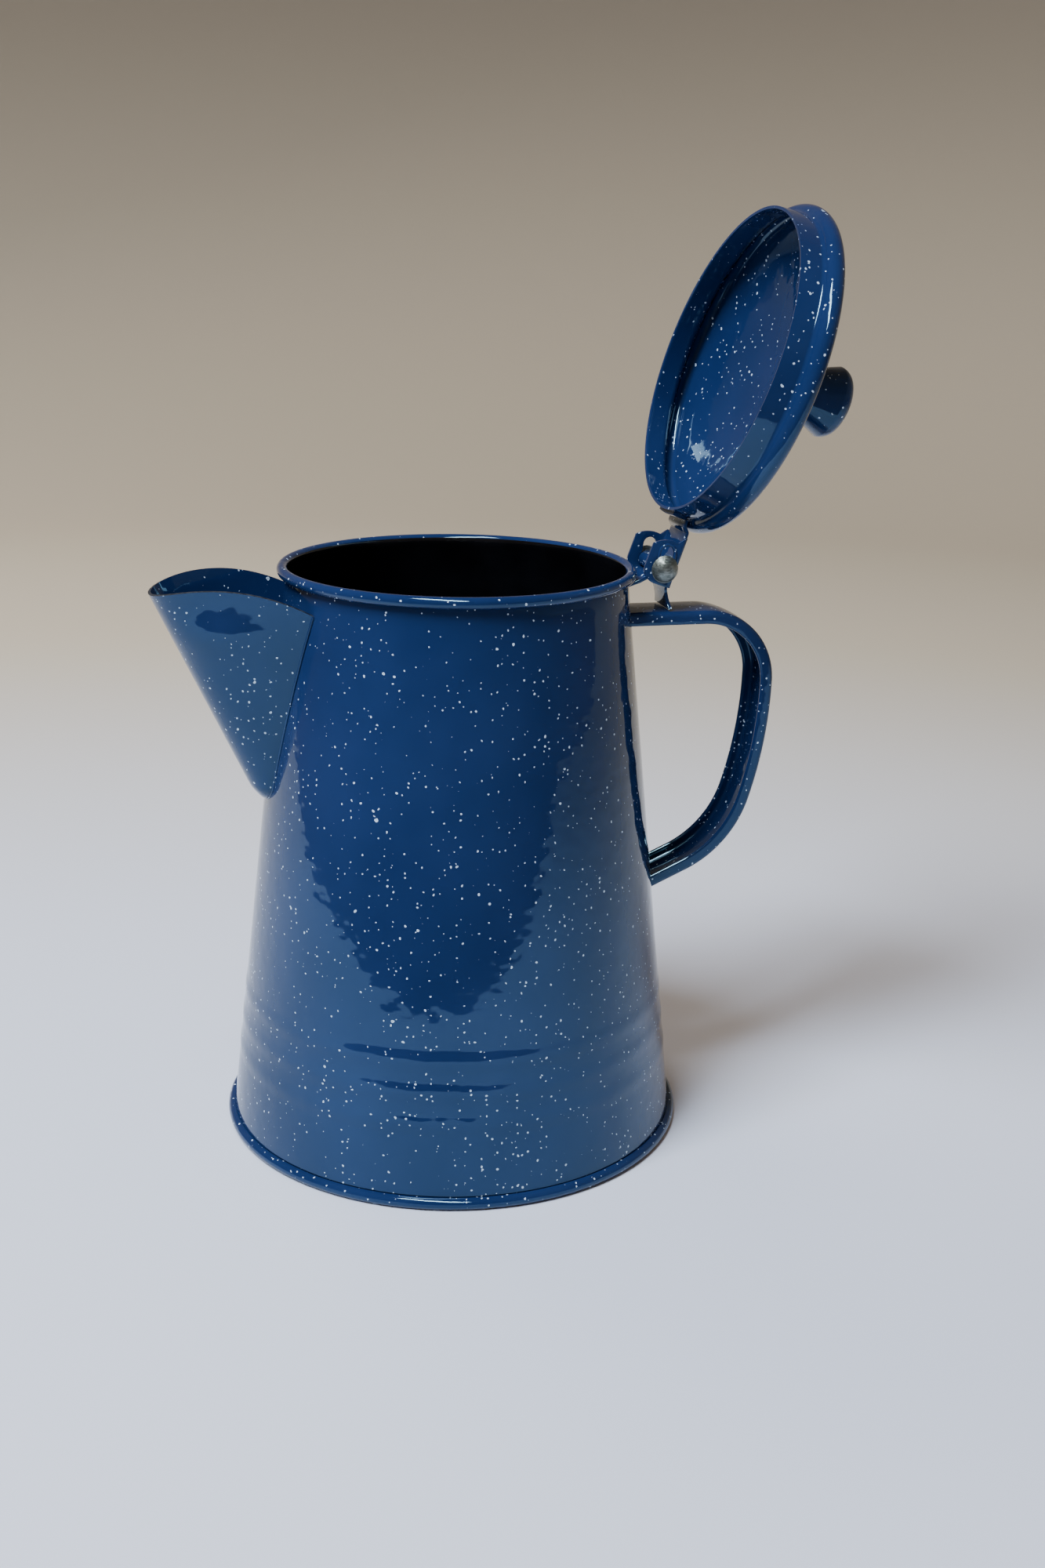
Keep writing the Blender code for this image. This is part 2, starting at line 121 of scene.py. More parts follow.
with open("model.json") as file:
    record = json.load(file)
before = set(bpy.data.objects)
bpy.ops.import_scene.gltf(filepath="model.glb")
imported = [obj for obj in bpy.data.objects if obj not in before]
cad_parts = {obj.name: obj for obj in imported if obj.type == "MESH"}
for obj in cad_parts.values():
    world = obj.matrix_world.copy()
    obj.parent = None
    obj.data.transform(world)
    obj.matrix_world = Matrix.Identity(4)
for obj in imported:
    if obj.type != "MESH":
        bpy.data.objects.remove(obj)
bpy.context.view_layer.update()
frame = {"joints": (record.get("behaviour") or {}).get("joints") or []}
PIN_M = Vector(frame["joints"][0]["pos_m"])
PIN_X = PIN_M.x / MM
PIN_Z = PIN_M.z / MM
LID_PLACE = Matrix.Translation(PIN_M) @ Matrix.Rotation(math.radians(OPEN_ANGLE), 4, "Y")


# ---------------------------------------------------------------- materials


class Nodes:
    """Short calls for building one material's node tree."""

    def __init__(self, name):
        self.material = bpy.data.materials.new(name)
        self.material.use_nodes = True
        self.tree = self.material.node_tree
        self.shader = self.tree.nodes["Principled BSDF"]

    def add(self, kind, inputs=None, **settings):
        node = self.tree.nodes.new(kind)
        for key, value in settings.items():
            setattr(node, key, value)
        for key, value in (inputs or {}).items():
            self.feed(node.inputs[key], value)
        return node

    def feed(self, socket, value):
        if isinstance(value, bpy.types.NodeSocket):
            self.tree.links.new(value, socket)
        else:
            socket.default_value = value

    def math(self, operation, first, second=0.0, third=0.0, clamp=False):
        node = self.add("ShaderNodeMath", {0: first, 1: second, 2: third}, operation=operation)
        node.use_clamp = clamp
        return node.outputs[0]

    def ramp(self, value, low, high, to_low=0.0, to_high=1.0):
        """A smooth step from to_low at low to to_high at high."""
        names = {"Value": value, "From Min": low, "From Max": high, "To Min": to_low, "To Max": to_high}
        return self.add("ShaderNodeMapRange", names, interpolation_type="SMOOTHSTEP").outputs[0]

    def mix(self, share, first, second):
        node = self.add("ShaderNodeMix", data_type="RGBA")
        self.feed(node.inputs["Factor"], share)
        self.feed(node.inputs["A"], first)
        self.feed(node.inputs["B"], second)
        return node.outputs["Result"]

    def noise(self, where, scale, detail=2.0, rough=0.5):
        names = {"Vector": where, "Scale": scale, "Detail": detail, "Roughness": rough}
        return self.add("ShaderNodeTexNoise", names)

    def bump(self, height, distance_mm, below=None):
        names = {"Height": height, "Distance": distance_mm * MM, "Strength": 1.0}
        if below is not None:
            names["Normal"] = below
        return self.add("ShaderNodeBump", names).outputs[0]

    def set_shader(self, **values):
        for name, value in values.items():
            self.feed(self.shader.inputs[name.replace("_", " ").title()], value)


def speckle_layer(n, where, scale, start, reach, clusters):
    """(mask, ring) of one size of speckle: discs about random points, more where clusters is high."""
    cell = n.add("ShaderNodeTexVoronoi", {"Vector": where, "Scale": scale})
    lot = n.add("ShaderNodeSeparateColor", {"Color": cell.outputs["Color"]}).outputs[0]
    chance = n.math("ADD", lot, clusters)
    radius = n.math("MULTIPLY", n.math("SUBTRACT", chance, start, clamp=True), reach)
    share = n.math("DIVIDE", cell.outputs["Distance"], n.math("ADD", radius, 0.0001))
    mask = n.ramp(share, 0.8, 1.1, 1.0, 0.0)
    ring = n.ramp(share, 0.15, 0.6)
    return mask, ring


def speckled_enamel(name, blue, speckle, roughness=0.045):
    n = Nodes(name)
    where = n.add("ShaderNodeTexCoord").outputs["Object"]
    warp = n.noise(where, 700, 1.0).outputs["Color"]
    offset = n.add("ShaderNodeVectorMath", {0: warp, 1: (0.5, 0.5, 0.5)}, operation="SUBTRACT").outputs[0]
    warped = n.add("ShaderNodeVectorMath", {0: offset, "Scale": 0.0009}, operation="SCALE").outputs[0]
    spots_at = n.add("ShaderNodeVectorMath", {0: where, 1: warped}, operation="ADD").outputs[0]
    patches = n.noise(where, 42, 3.0, 0.6).outputs["Fac"]
    clusters = n.ramp(patches, 0.36, 0.66, -0.11, 0.11)
    large, ring = speckle_layer(n, spots_at, 300, 0.85, 0.78, clusters)
    small, _ = speckle_layer(n, spots_at, 590, 0.30, 0.33, clusters)
    mask = n.math("MAXIMUM", large, small)
    cloud = n.noise(where, 14, 3.0, 0.55).outputs["Fac"]
    deep = (blue[0] * 0.72, blue[1] * 0.78, blue[2] * 0.82, 1.0)
    light = (blue[0] * 1.35, blue[1] * 1.2, blue[2] * 1.12, 1.0)
    ground = n.mix(n.ramp(cloud, 0.3, 0.7), deep, light)
    pale_centre = n.mix(0.45, (*blue, 1.0), (*speckle, 1.0))
    spot = n.mix(ring, pale_centre, (*speckle, 1.0))
    colour = n.mix(mask, ground, spot)
    peel = n.noise(where, 190, 1.0, 0.35).outputs["Fac"]
    slow = n.add("ShaderNodeMapping", {"Vector": where, "Scale": (1.0, 1.0, 0.16)}).outputs[0]
    runs = n.noise(slow, 75, 1.0, 0.4).outputs["Fac"]
    surface = n.bump(peel, 0.10)
    surface = n.bump(runs, 0.045, surface)
    surface = n.bump(mask, 0.008, surface)
    n.set_shader(base_color=colour, roughness=roughness, normal=surface)
    n.shader.inputs["IOR"].default_value = 1.53
    n.shader.inputs["Specular Tint"].default_value = (0.42, 0.78, 1.0, 1.0)
    return n.material


def black_enamel(name):
    n = Nodes(name)
    where = n.add("ShaderNodeTexCoord").outputs["Object"]
    cloud = n.noise(where, 60, 3.0).outputs["Fac"]
    colour = n.mix(n.ramp(cloud, 0.3, 0.7), (0.0012, 0.0012, 0.0016, 1.0), (0.0028, 0.003, 0.004, 1.0))
    n.set_shader(base_color=colour, roughness=0.16, normal=n.bump(cloud, 0.04))
    return n.material


def burnt_edge(name):
    """Sheared sheet edges, where the enamel draws back and turns nearly black."""
    n = Nodes(name)
    where = n.add("ShaderNodeTexCoord").outputs["Object"]
    grain = n.noise(where, 900, 3.0).outputs["Fac"]
    colour = n.mix(n.ramp(grain, 0.35, 0.7), (0.004, 0.006, 0.012, 1.0), (0.03, 0.034, 0.042, 1.0))
    n.set_shader(base_color=colour, roughness=0.35, normal=n.bump(grain, 0.05))
    return n.material


def worn_aluminium(name):
    n = Nodes(name)
    where = n.add("ShaderNodeTexCoord").outputs["Object"]
    dents = n.noise(where, 420, 3.0, 0.6).outputs["Fac"]
    scratch_at = n.add("ShaderNodeMapping", {"Vector": where, "Scale": (0.15, 1.0, 1.0)}).outputs[0]
    scratches = n.noise(scratch_at, 2600, 2.0, 0.7).outputs["Fac"]
    tone = n.math("MULTIPLY_ADD", scratches, 0.5, n.math("MULTIPLY", dents, 0.5))
    colour = n.mix(n.ramp(tone, 0.35, 0.65), (0.09, 0.11, 0.10, 1.0), (0.27, 0.30, 0.28, 1.0))
    surface = n.bump(scratches, 0.03, n.bump(dents, 0.22))
    polish = n.ramp(tone, 0.3, 0.7, 0.28, 0.46)
    n.set_shader(base_color=colour, metallic=0.85, roughness=polish, normal=surface)
    return n.material


ENAMEL = speckled_enamel("speckled_enamel", (0.0085, 0.0222, 0.077), (0.56, 0.68, 0.82))
INSIDE = black_enamel("inner_enamel")
EDGE = burnt_edge("burnt_edge")
RIVET = worn_aluminium("worn_aluminium")


# ---------------------------------------------------------------- mesh helpers


def clean_mesh(mesh, after_boolean):
    """Joins coincident points and, after a boolean, takes out zero-size faces and closes small holes."""
    work = bmesh.new()
    work.from_mesh(mesh)
    bmesh.ops.remove_doubles(work, verts=work.verts, dist=MERGE_M)
    if after_boolean:
        bmesh.ops.dissolve_degenerate(work, dist=MERGE_M, edges=work.edges)
        open_edges = [edge for edge in work.edges if edge.is_boundary]
        bmesh.ops.holes_fill(work, edges=open_edges, sides=8)
    bmesh.ops.recalc_face_normals(work, faces=work.faces)
    work.to_mesh(mesh)
    work.free()


def new_piece(name, vertices, faces, materials, body, slot, place=None, stands_for=(), sharp=40, picks=None):
    """A closed smooth mesh from millimetres. picks gives each face its material's index."""
    mesh = bpy.data.meshes.new(name)
    mesh.from_pydata([[MM * value for value in vertex] for vertex in vertices], [], faces)
    for material in materials:
        mesh.materials.append(material)
    if picks:
        mesh.polygons.foreach_set("material_index", picks)
    clean_mesh(mesh, after_boolean=False)
    mesh.shade_smooth()
    mesh.set_sharp_from_angle(angle=math.radians(sharp))
    obj = bpy.data.objects.new(name, mesh)
    bpy.context.collection.objects.link(obj)
    if place:
        mesh.transform(place)
    if body:
        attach(obj, body)
        if stands_for:
            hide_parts(*stands_for)
    return obj


def apply_modifiers(obj, sharp=40):
    """Bakes the modifiers into the mesh, so that helpers can go."""
    bpy.context.view_layer.update()
    graph = bpy.context.evaluated_depsgraph_get()
    mesh = bpy.data.meshes.new_from_object(obj.evaluated_get(graph))
    obj.modifiers.clear()
    obj.data = mesh
    clean_mesh(mesh, after_boolean=True)
    mesh.shade_smooth()
    mesh.set_sharp_from_angle(angle=math.radians(sharp))


def boolean(obj, helper, operation):
    modifier = obj.modifiers.new(operation, "BOOLEAN")
    modifier.object = helper
    modifier.operation = operation
    modifier.solver = "EXACT"


def soften_edges(obj, width, segments=3, angle=35):
    modifier = obj.modifiers.new("rounding", "BEVEL")
    modifier.width = width * MM
    modifier.segments = segments
    modifier.limit_method = "ANGLE"
    modifier.angle_limit = math.radians(angle)
    modifier.miter_outer = "MITER_ARC"


def remove(*objects):
    for obj in objects:
        bpy.data.objects.remove(obj, do_unlink=True)


def arc(centre_x, centre_z, radius, start, end, steps):
    """Points on an arc, its angles in degrees counter-clockwise from +X."""
    angles = [math.radians(start + (end - start) * i / steps) for i in range(steps + 1)]
    return [(centre_x + radius * math.cos(a), centre_z + radius * math.sin(a)) for a in angles]


def revolve(profile, segments=ROUND_SEGMENTS):
    """Vertices and faces of a closed outline of (radius, height) points turned about Z."""
    vertices = []
    rings = []
    for radius, height in profile:
        count = 1 if radius == 0 else segments
        first = len(vertices)
        for i in range(count):
            angle = 2 * math.pi * i / segments
            vertices.append((radius * math.cos(angle), radius * math.sin(angle), height))
        rings.append([first + i % count for i in range(segments + 1)])
    faces = []
    for lower, upper in zip(rings, rings[1:] + rings[:1]):
        for i in range(segments):
            corners = dict.fromkeys((lower[i], lower[i + 1], upper[i + 1], upper[i]))
            if len(corners) > 2:
                faces.append(list(corners))
    return vertices, faces


def prism(outline, low_y, high_y):
    """Vertices and faces of an (x, z) outline extruded along Y."""
    count = len(outline)
    vertices = [(x, y, z) for y in (low_y, high_y) for x, z in outline]
    faces = [list(range(count)), list(range(count, 2 * count))]
    faces += [[i, (i + 1) % count, count + (i + 1) % count, count + i] for i in range(count)]
    return vertices, faces


def thicken(line, thickness):
    """The outline of a strip of constant thickness whose centreline is the given (x, z) line."""
    sides = []
    for i, (x, z) in enumerate(line):
        before = line[max(i - 1, 0)]
        after = line[min(i + 1, len(line) - 1)]
        length = math.dist(before, after)
        normal_x = (before[1] - after[1]) / length
        normal_z = (after[0] - before[0]) / length
        out_x = normal_x * thickness / 2
        out_z = normal_z * thickness / 2
        sides.append(((x + out_x, z + out_z), (x - out_x, z - out_z)))
    return [left for left, _ in sides] + [right for _, right in reversed(sides)]


def offset_outline(outline, distance):
    """The same open outline moved to its left by a distance."""
    moved = []
    for i, (r, h) in enumerate(outline):
        before = outline[max(i - 1, 0)]
        after = outline[min(i + 1, len(outline) - 1)]
        length = math.dist(before, after)
        shift_r = distance * (before[1] - after[1]) / length
        shift_h = distance * (after[0] - before[0]) / length
        moved.append((max(r + shift_r, 0) if r else 0, h + shift_h))
    return moved


def rounded(points, radius, steps=6):
    """An open line of (x, z) points with each inner corner rounded."""
    line = [points[0]]
    for before, corner, after in zip(points, points[1:], points[2:]):
        into = (Vector(corner) - Vector(before)).normalized()
        out = (Vector(after) - Vector(corner)).normalized()
        turn = into.angle(out)
        reach = radius * math.tan(turn / 2)
        start = Vector(corner) - into * reach
        end = Vector(corner) + out * reach
        for i in range(steps + 1):
            t = i / steps
            line.append(tuple(start * (1 - t) ** 2 + Vector(corner) * 2 * t * (1 - t) + end * t**2))
    return line + [points[-1]]


def tube(path, radius, sides=12, closed=False):
    """Vertices and faces of a round bar along 3-D points."""
    points = [Vector(p) for p in path]
    count = len(points)
    vertices = []
    for i, point in enumerate(points):
        before = points[i - 1] if closed or i else points[0]
        after = points[(i + 1) % count] if closed or i < count - 1 else points[-1]
        along = (after - before).normalized()
        side = along.cross(Vector((0.31, 0.17, 0.94))).normalized()
        up = side.cross(along)
        for k in range(sides):
            angle = 2 * math.pi * k / sides
            vertices.append(tuple(point + radius * (math.cos(angle) * side + math.sin(angle) * up)))
    faces = []
    for i in range(count if closed else count - 1):
        low = i * sides
        high = (i + 1) % count * sides
        faces += [[low + k, low + (k + 1) % sides, high + (k + 1) % sides, high + k] for k in range(sides)]
    if not closed:
        faces += [list(range(sides)), [len(vertices) - sides + k for k in range(sides)]]
    return vertices, faces


# ---------------------------------------------------------------- pot


def wall_radius(height):
    span = RIM_CENTRE_Z - WALL_BOTTOM_Z
    return BASE_WALL_R + (TOP_WALL_R - BASE_WALL_R) * (height - WALL_BOTTOM_Z) / span


def ribbed_radius(height):
    radius = wall_radius(height)
    for centre in RIB_HEIGHTS:
        offset = abs(height - centre)
        if offset < RIB_HALF_WIDTH:
            radius += RIB_DEPTH * (1 + math.cos(math.pi * offset / RIB_HALF_WIDTH)) / 2
    return radius


def make_wall():
    """The wall, with blue enamel outside and on the bead and black enamel inside."""
    heights = [WALL_BOTTOM_Z, 10.0, 16.0, 20.0]
    heights += [22.0 + 0.5 * i for i in range(66)]
    heights += [60.0 + 6.0 * i for i in range(23)]
    outer = [(ribbed_radius(z), z) for z in heights]
    bead = arc(RIM_CENTRE_R, RIM_CENTRE_Z, RIM_BEAD_R, -150, 178, 40)
    throat = [(wall_radius(RIM_CENTRE_Z) - SHEET + 0.15, RIM_CENTRE_Z - 1.2)]
    inner = [(radius - SHEET, z) for radius, z in reversed(outer)]
    profile = outer + bead + throat + inner
    first_inner = len(outer) + len(bead) - 4
    picks = [int(k >= first_inner) for k in range(len(profile)) for _ in range(ROUND_SEGMENTS)]
    wall = new_piece("wall", *revolve(profile), (ENAMEL, INSIDE), None, None, picks=picks)
    cutter = make_strainer_cutter()
    boolean(wall, cutter, "DIFFERENCE")
    apply_modifiers(wall, 30)
    remove(cutter)
    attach(wall, "pot")
    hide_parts("body_shell")


def make_strainer_cutter():
    vertices = []
    faces = []
    sides = 24
    for height, count in HOLE_ROWS:
        for i in range(count):
            centre_y = HOLE_SPACING * (i - (count - 1) / 2)
            reach = math.sqrt(wall_radius(height) ** 2 - centre_y**2)
            rim = arc(centre_y, height, HOLE_R, 0, 360, sides)[:-1]
            first = len(vertices)
            vertices += [(x, y, z) for x in (-reach - 3, -reach + 4) for y, z in rim]
            ends = [[first + k for k in range(sides)], [first + sides + k for k in range(sides)]]
            walls = [[first + k, first + (k + 1) % sides] for k in range(sides)]
            faces += ends + [[a, b, b + sides, a + sides] for a, b in walls]
    return new_piece("strainer_cutter", vertices, faces, (INSIDE,), None, None)


def make_base():
    wall_inner = wall_radius(WALL_BOTTOM_Z) - SHEET - GAP
    bead = arc(SEAM_CENTRE_R, SEAM_BEAD_R, SEAM_BEAD_R, -90, 150, 30)
    slope = (BASE_WALL_R - TOP_WALL_R) / (RIM_CENTRE_Z - WALL_BOTTOM_Z)
    top_r = wall_inner - slope * (UPSTAND_TOP_Z - WALL_BOTTOM_Z)
    upstand = [(wall_inner, WALL_BOTTOM_Z - GAP), (top_r, UPSTAND_TOP_Z), (top_r - SHEET, UPSTAND_TOP_Z)]
    foot = arc(wall_inner - SHEET - 3.0, SHEET + 3.0, 3.0, 0, -90, 10)
    floor = [(radius, SHEET) for radius in (60.0, 40.0, 20.0, 0)]
    under = [(0, 0), (20.0, 0), (40.0, 0), (60.0, 0), (73.0, 0)]
    profile = [*under, *bead, *upstand, *foot, *floor]
    first_inner = len(under) + len(bead) + 1
    picks = []
    for k in range(len(profile)):
        at_axis = profile[k][0] == 0 and profile[(k + 1) % len(profile)][0] == 0
        picks += [] if at_axis else [int(k >= first_inner)] * ROUND_SEGMENTS
    solid = revolve(profile)
    new_piece("base", *solid, (ENAMEL, INSIDE), "pot", "blue_enamel", None, ("base_pan",), picks=picks)


def spout_section(height):
    """Control points of the half section at a height, from the nose to the weld, as (x, y)."""
    rise = min((height - SPOUT_BOTTOM_Z) / SPOUT_TOE_Z, 1)
    toe = math.sqrt(max(1 - (1 - rise) ** 2, 0))
    reach = toe * (SPOUT_REACH + SPOUT_LEAN * (height - SPOUT_REACH_Z))
    half = toe * (SPOUT_HALF_WIDTH + SPOUT_WIDENING * (height - SPOUT_WIDTH_Z))
    radius = wall_radius(height)
    nose_x = -radius - reach
    weld_x = -math.sqrt(radius**2 - half**2)
    length = weld_x - nose_x
    slope = 0.265 * length / 48
    side = (weld_x - 0.65 * length, half - 0.5 * length * slope)
    return (nose_x, 0), (nose_x, 0.55 * half), side, (weld_x, half)


def spout_point(along, height):
    """A point of the spout's outer face: along is -1 to 1 between the welds, and a little past them."""
    controls = spout_section(height)
    t = min(abs(along), 1)
    weights = ((1 - t) ** 3, 3 * t * (1 - t) ** 2, 3 * t**2 * (1 - t), t**3)
    x = sum(w * p[0] for w, p in zip(weights, controls))
    y = sum(w * p[1] for w, p in zip(weights, controls))
    for centre_x, spread_x, centre_z, spread_z, swelling in SPOUT_SWELLINGS:
        away = ((x - centre_x) / spread_x) ** 2 + ((height - centre_z) / spread_z) ** 2
        y += swelling * math.exp(-away / 2)
    if abs(along) > 1:
        x += 1.2
        y += 0.2
    return x, math.copysign(y, along)


def lip_height(x):
    return LIP_PEAK_Z - LIP_FALL * (x - LIP_PEAK_X) ** 2


def make_spout():
    half_columns = 48
    columns = [-1.05, *(i / half_columns for i in range(-half_columns, half_columns + 1)), 1.05]
    rows = 70
    vertices = []
    for along in columns:
        top = LIP_PEAK_Z
        for _ in range(8):
            top = lip_height(spout_point(along, top)[0])
        for row in range(rows + 1):
            height = SPOUT_BOTTOM_Z + (top - SPOUT_BOTTOM_Z) * (row / rows) ** 1.5
            vertices.append((*spout_point(along, height), height))
    faces = []
    for column in range(len(columns) - 1):
        for row in range(rows):
            first = column * (rows + 1) + row
            faces.append([first, first + rows + 1, first + rows + 2, first + 1])
    spout = new_piece("spout", vertices, faces, (ENAMEL, EDGE), None, None)
    sheet = spout.modifiers.new("sheet", "SOLIDIFY")
    sheet.thickness = SHEET * MM
    sheet.offset = -1
    sheet.material_offset_rim = 1
    apply_modifiers(spout, 50)
    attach(spout, "pot")
    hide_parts("spout_shell")
    for side in (-1, 1):
        line = []
        for i in range(60):
            height = SPOUT_BOTTOM_Z + 0.4 + i / 59 * WELD_LENGTH
            x, y = spout_point(side * 0.995, height)
            line.append((x, y, height))
        solid = tube(line, WELD_BEAD_R, 10)
        new_piece(f"spout_weld_{'ab'[side > 0]}", *solid, (ENAMEL,), "pot", "blue_enamel")


def handle_path():
    """Points of the strap's outer face with their headings in degrees, 0 along +X and turning downwards."""
    x, z, heading = HANDLE_START_X, HANDLE_TOP_Z, 0.0
    path = [(x, z, heading)]
    flat = HANDLE_FLAT_END_X - HANDLE_START_X
    path += [(HANDLE_START_X + flat * i / 8, z, heading) for i in range(1, 9)]
    x = HANDLE_FLAT_END_X
    for radius, turn, steps in HANDLE_BENDS:
        for _ in range(steps):
            half_turn = math.radians(turn / steps / 2)
            chord = 2 * radius * math.sin(half_turn)
            direction = math.radians(heading) + half_turn
            x += chord * math.cos(direction)
            z -= chord * math.sin(direction)
            heading += turn / steps
            path.append((x, z, heading))
    direction = math.radians(heading)
    for i in range(1, 7):
        step = HANDLE_TAIL * i / 6
        path.append((x + step * math.cos(direction), z - step * math.sin(direction), heading))
    return path


def strap_section():
    """The C section as (y, depth below the outer face): crowned back, round corners and hemmed edges."""
    flat = STRAP_HALF_WIDTH - STRAP_CORNER_R
    crown = [(flat * i / 5, 0.35 * (i / 5) ** 2) for i in range(5)]
    corner = [(y, 0.35 + depth) for y, depth in arc(flat, STRAP_CORNER_R, STRAP_CORNER_R, -90, 0, 8)]
    hem = arc(STRAP_HALF_WIDTH - HEM_R, STRAP_DEPTH - HEM_R, HEM_R, 0, 200, 12)
    inside = STRAP_HALF_WIDTH - SHEET
    bend = arc(inside - 1.0, SHEET + 1.35, 1.0, 0, -90, 5)
    web = [(inside - 1.0 - (inside - 1.0) * i / 4, SHEET + 0.35 - 0.35 * i / 4) for i in range(1, 5)]
    half = crown + corner + hem + bend + web
    return half + [(-y, depth) for y, depth in reversed(half[1:-1])]


def make_handle():
    section = strap_section()
    count = len(section)
    vertices = []
    path = handle_path()
    for x, z, heading in path:
        sine = math.sin(math.radians(heading))
        cosine = math.cos(math.radians(heading))
        vertices += [(x - depth * sine, y, z - depth * cosine) for y, depth in section]
    faces = [list(range(count)), list(range(len(vertices) - count, len(vertices)))]
    for station in range(len(path) - 1):
        first = station * count
        for i in range(count):
            j = (i + 1) % count
            faces.append([first + i, first + j, first + count + j, first + count + i])
    strap = new_piece("handle", vertices, faces, (ENAMEL,), None, None)
    cutter = make_wall_cutter()
    boolean(strap, cutter, "DIFFERENCE")
    apply_modifiers(strap)
    remove(cutter)
    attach(strap, "pot")
    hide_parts("handle_strap")


def make_wall_cutter():
    """The pot's filled inside up to the middle of its wall, which trims what is welded on."""
    wall = [(wall_radius(z) - SHEET / 2, z) for z in (60.0, 190.0)]
    profile = [(0, 60.0), *wall, (0, 190.0)]
    return new_piece("wall_cutter", *revolve(profile, 128), (INSIDE,), None, None)


# ---------------------------------------------------------------- hinge


def make_bracket():
    curl_r = KNUCKLE_R - BRACKET_SHEET / 2
    curl = arc(PIN_X, PIN_Z, curl_r, -100, 205, 48)
    tongue = [(PIN_X - 12.6, PIN_Z - 5.75), (PIN_X - 8.0, PIN_Z - 4.25), (PIN_X - 4.5, curl[0][1] + 0.1)]
    outline = thicken(tongue + curl, BRACKET_SHEET)
    solid = prism(outline, -KNUCKLE_HALF_WIDTH, KNUCKLE_HALF_WIDTH)
    bracket = new_piece("knuckle", *solid, (ENAMEL,), None, None)
    soften_edges(bracket, 0.25)
    apply_modifiers(bracket)
    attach(bracket, "pot")
    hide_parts("hinge_bracket")


def make_rivet():
    inner = EAR_OUTER_Y + GAP
    dome_r = (HEAD_R**2 + HEAD_HEIGHT**2) / (2 * HEAD_HEIGHT)
    edge = math.degrees(math.asin(HEAD_R / dome_r))
    dome = arc(0, inner + HEAD_HEIGHT - dome_r, dome_r, 90 - edge, 90, 24)
    rim = [(PIN_R, inner), (HEAD_R - 0.2, inner), (HEAD_R, inner + 0.15)]
    top = [*rim, *dome[1:-1], (0, inner + HEAD_HEIGHT)]
    bottom = [(radius, -height) for radius, height in reversed(top)]
    place = Matrix.Translation(PIN_M) @ Matrix.Rotation(math.radians(90), 4, "X")
    solid = revolve(bottom + top, 64)
    new_piece("rivet", *solid, (RIVET,), "pot", "rivet_aluminium", place, ("hinge_rivet",))


def slot_outline(radius, steps=14):
    """The ear's slot: it starts just past the pin and slants down towards the lid."""
    slant = math.radians(SLOT_SLANT)
    start = (SLOT_START * math.cos(slant), SLOT_START * math.sin(slant))
    end = (start[0] - SLOT_LENGTH * math.cos(slant), start[1] - SLOT_LENGTH * math.sin(slant))
    near = arc(*start, radius, SLOT_SLANT - 90, SLOT_SLANT + 90, steps)
    return near + arc(*end, radius, SLOT_SLANT + 90, SLOT_SLANT + 270, steps)


def channel_section():
    """The leaf's section across the hinge, as (y, z): web on top, an ear down each side, round bends."""
    top = WEB_Z + SHEET / 2
    bend = 1.6
    outer = arc(EAR_OUTER_Y - bend, top - bend, bend, 0, 90, 8)
    inner_r = bend - SHEET
    inner = arc(EAR_INNER_Y - inner_r, top - SHEET - inner_r, inner_r, 90, 0, 5)
    low = -9.0
    outside = [(EAR_OUTER_Y, low), *outer]
    inside = [*inner, (EAR_INNER_Y, low)]
    outside += [(-y, z) for y, z in reversed(outside)]
    return outside + [(-y, z) for y, z in reversed(inside)] + inside


def make_leaf():
    section = channel_section()
    count = len(section)
    vertices = [(x, y, z) for x in (-15.0, 8.0) for y, z in section]
    faces = [list(range(count)), list(range(count, 2 * count))]
    faces += [[i, (i + 1) % count, count + (i + 1) % count, count + i] for i in range(count)]
    leaf = new_piece("lid_leaf", vertices, faces, (ENAMEL,), None, None, LID_PLACE)
    top = WEB_Z + 2.0
    ear = [(WEB_END_X, top), (WEB_START_X, top), (WEB_START_X, WEB_Z - SHEET / 2)]
    ear += arc(0, 0, EAR_SWEEP_R, 170, 224, 16) + arc(*EAR_CORNER, EAR_CORNER_R, 270, 360, 16)
    keep = new_piece("ear_outline", *prism(ear, -12, 12), (ENAMEL,), None, None, LID_PLACE)
    holes = prism(slot_outline(SLOT_R), -12, 12)
    slots = new_piece("slot_cutter", *holes, (ENAMEL,), None, None, LID_PLACE)
    plates = [make_neck(), make_foot(), make_tail()]
    boolean(leaf, keep, "INTERSECT")
    boolean(leaf, slots, "DIFFERENCE")
    for plate in plates:
        boolean(leaf, plate, "UNION")
    soften_edges(leaf, 0.2)
    apply_modifiers(leaf)
    remove(keep, slots, *plates)
    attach(leaf, "lid")
    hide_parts("lid_hinge_leaf")
    for side in (-1, 1):
        ring = [(x, side * (EAR_OUTER_Y - 0.1), z) for x, z in slot_outline(SLOT_R + 0.45)]
        solid = tube(ring, 0.5, 12, closed=True)
        new_piece(f"slot_ring_{'ab'[side > 0]}", *solid, (ENAMEL,), "lid", "blue_enamel", LID_PLACE)


def make_neck():
    """The strip from the web to the collar, bent in under the flange."""
    line = rounded([(-17.6, 2.4), (-15.4, 2.4), (-13.7, WEB_Z), (-10.0, WEB_Z)], 1.0)
    solid = prism(thicken(line, SHEET), -NECK_HALF_WIDTH, NECK_HALF_WIDTH)
    return new_piece("leaf_neck", *solid, (ENAMEL,), None, None, LID_PLACE)


